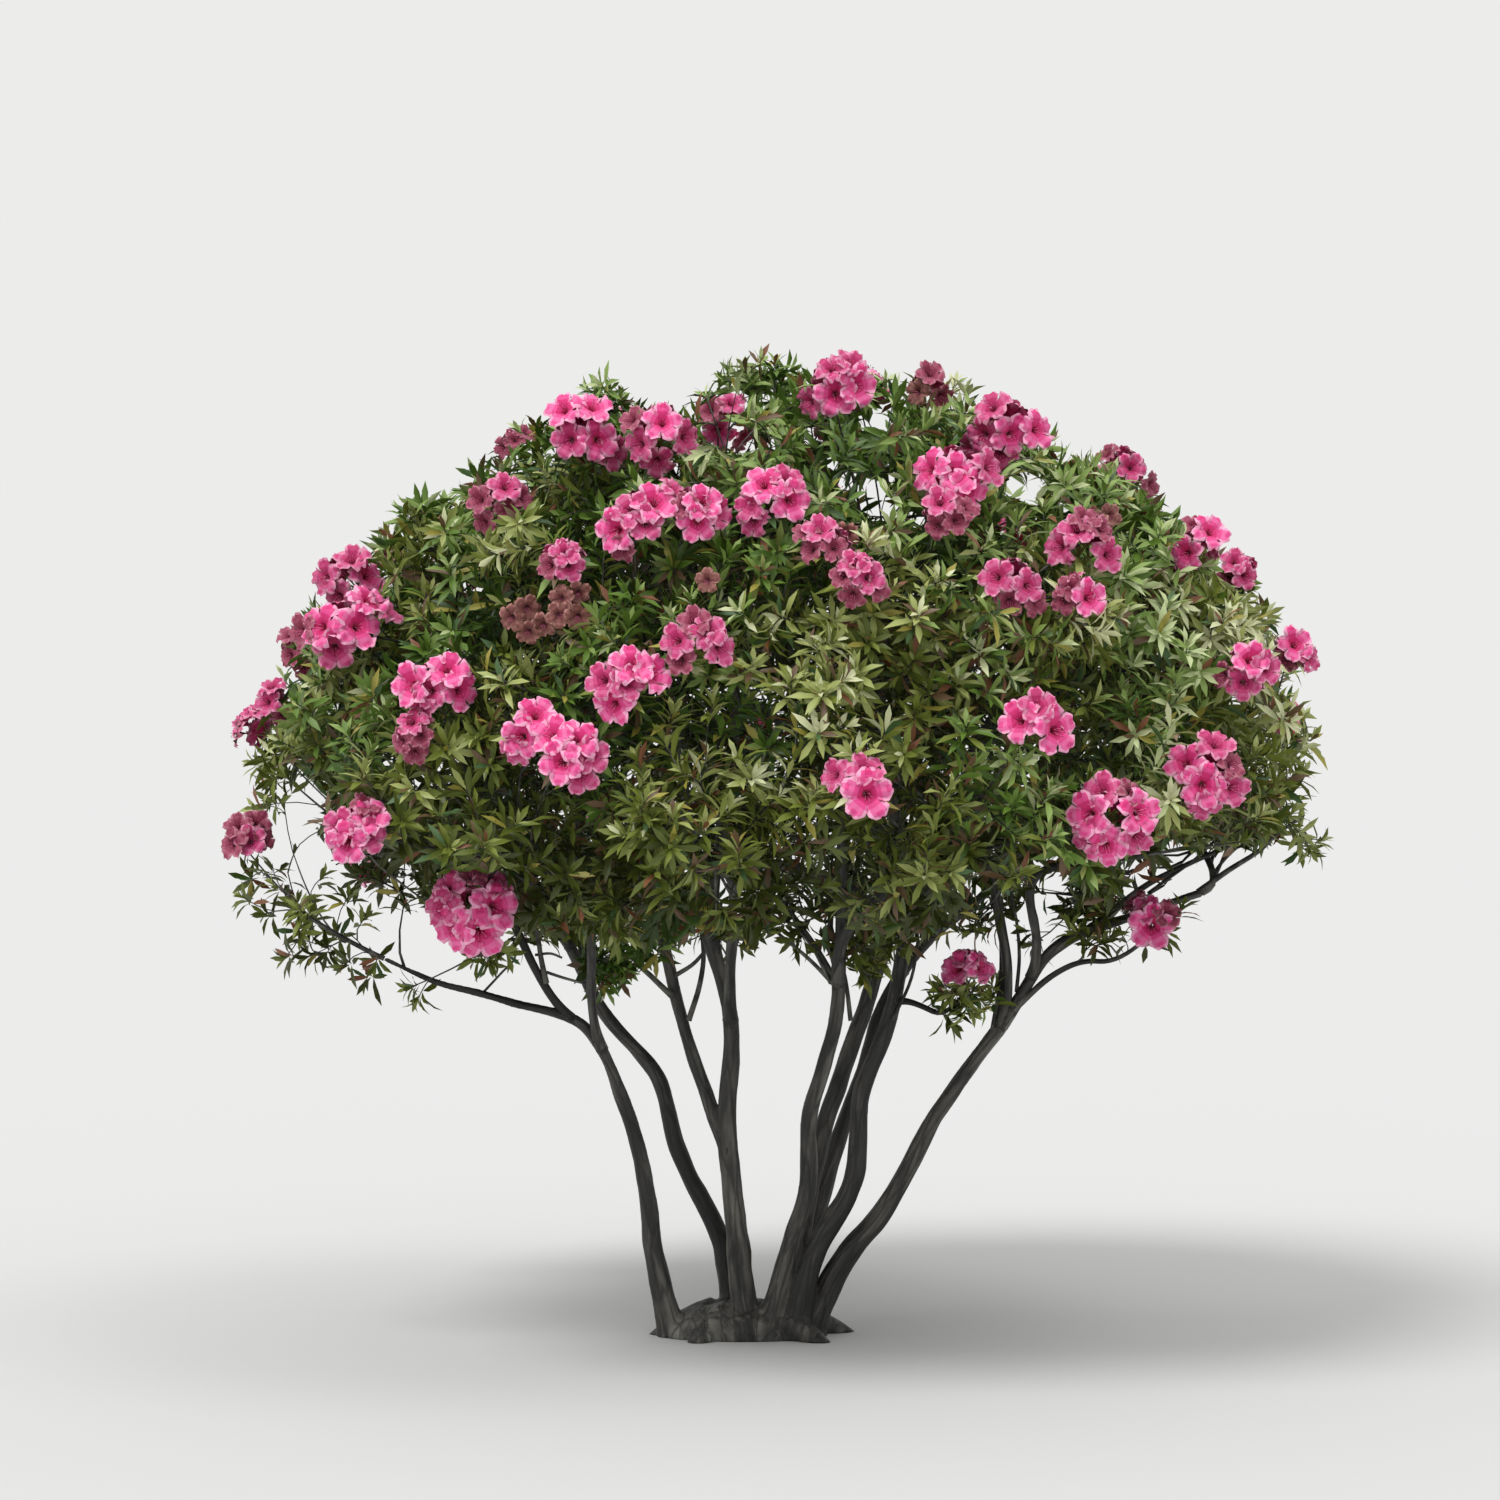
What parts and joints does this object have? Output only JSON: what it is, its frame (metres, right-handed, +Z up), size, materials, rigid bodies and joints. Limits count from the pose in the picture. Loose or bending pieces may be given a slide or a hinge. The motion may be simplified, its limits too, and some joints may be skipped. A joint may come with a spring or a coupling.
{
  "type": "azalea shrub",
  "caption": "Rounded flowering azalea shrub with bare forking stems from one root crown, small evergreen leaves in whorls and trusses of pink blossom.",
  "frame": {"origin": "the middle of the flat cut under the root crown, at ground level", "axes": "+X to the right of the side that faces the viewer, +Y away from the viewer, +Z up"},
  "size_m": [1.5412, 1.3819, 1.3775],
  "materials": {
    "bark": "smooth charcoal-grey bark with paler weathered streaks",
    "foliage": "half-matt olive to mid-green narrow leaves, paler young ones among them",
    "blossom": "soft matt petals, pale pink edges deepening to magenta throats"
  },
  "bodies": {
    "root": {"root_crown": "bark", "stem_far_left": "bark", "stem_left": "bark", "stem_middle": "bark", "stem_middle_left": "bark", "stem_right_front": "bark", "stem_leader": "bark", "stem_right_back": "bark", "stem_right": "bark", "stem_far_right": "bark", "bough_rim_3": "bark", "bough_rim_4": "bark", "bough_rim_5": "bark", "bough_rim_7": "bark", "bough_rim_8": "bark", "bough_rim_9": "bark", "bough_rim_11": "bark", "bough_middle_1": "bark", "bough_middle_2": "bark", "bough_middle_3": "bark", "bough_middle_4": "bark", "bough_middle_7": "bark", "bough_middle_8": "bark", "bough_upper_1": "bark", "bough_upper_2": "bark", "bough_upper_3": "bark", "bough_upper_4": "bark", "bough_spray_right_low": "bark", "bough_sprig_inner_right": "bark", "mass_rim_1": "foliage", "mass_rim_2": "foliage", "mass_rim_3": "foliage", "mass_rim_4": "foliage", "mass_rim_5": "foliage", "mass_rim_6": "foliage", "mass_rim_7": "foliage", "mass_rim_8": "foliage", "mass_rim_9": "foliage", "mass_rim_10": "foliage", "mass_rim_11": "foliage", "mass_middle_1": "foliage", "mass_middle_2": "foliage", "mass_middle_3": "foliage", "mass_middle_4": "foliage", "mass_middle_5": "foliage", "mass_middle_6": "foliage", "mass_middle_7": "foliage", "mass_middle_8": "foliage", "mass_upper_1": "foliage", "mass_upper_2": "foliage", "mass_upper_3": "foliage", "mass_upper_4": "foliage", "mass_upper_5": "foliage", "mass_top": "foliage", "spray_left_low": "foliage", "spray_right_low": "foliage", "sprig_inner_right": "foliage"}
  },
  "joints": []
}
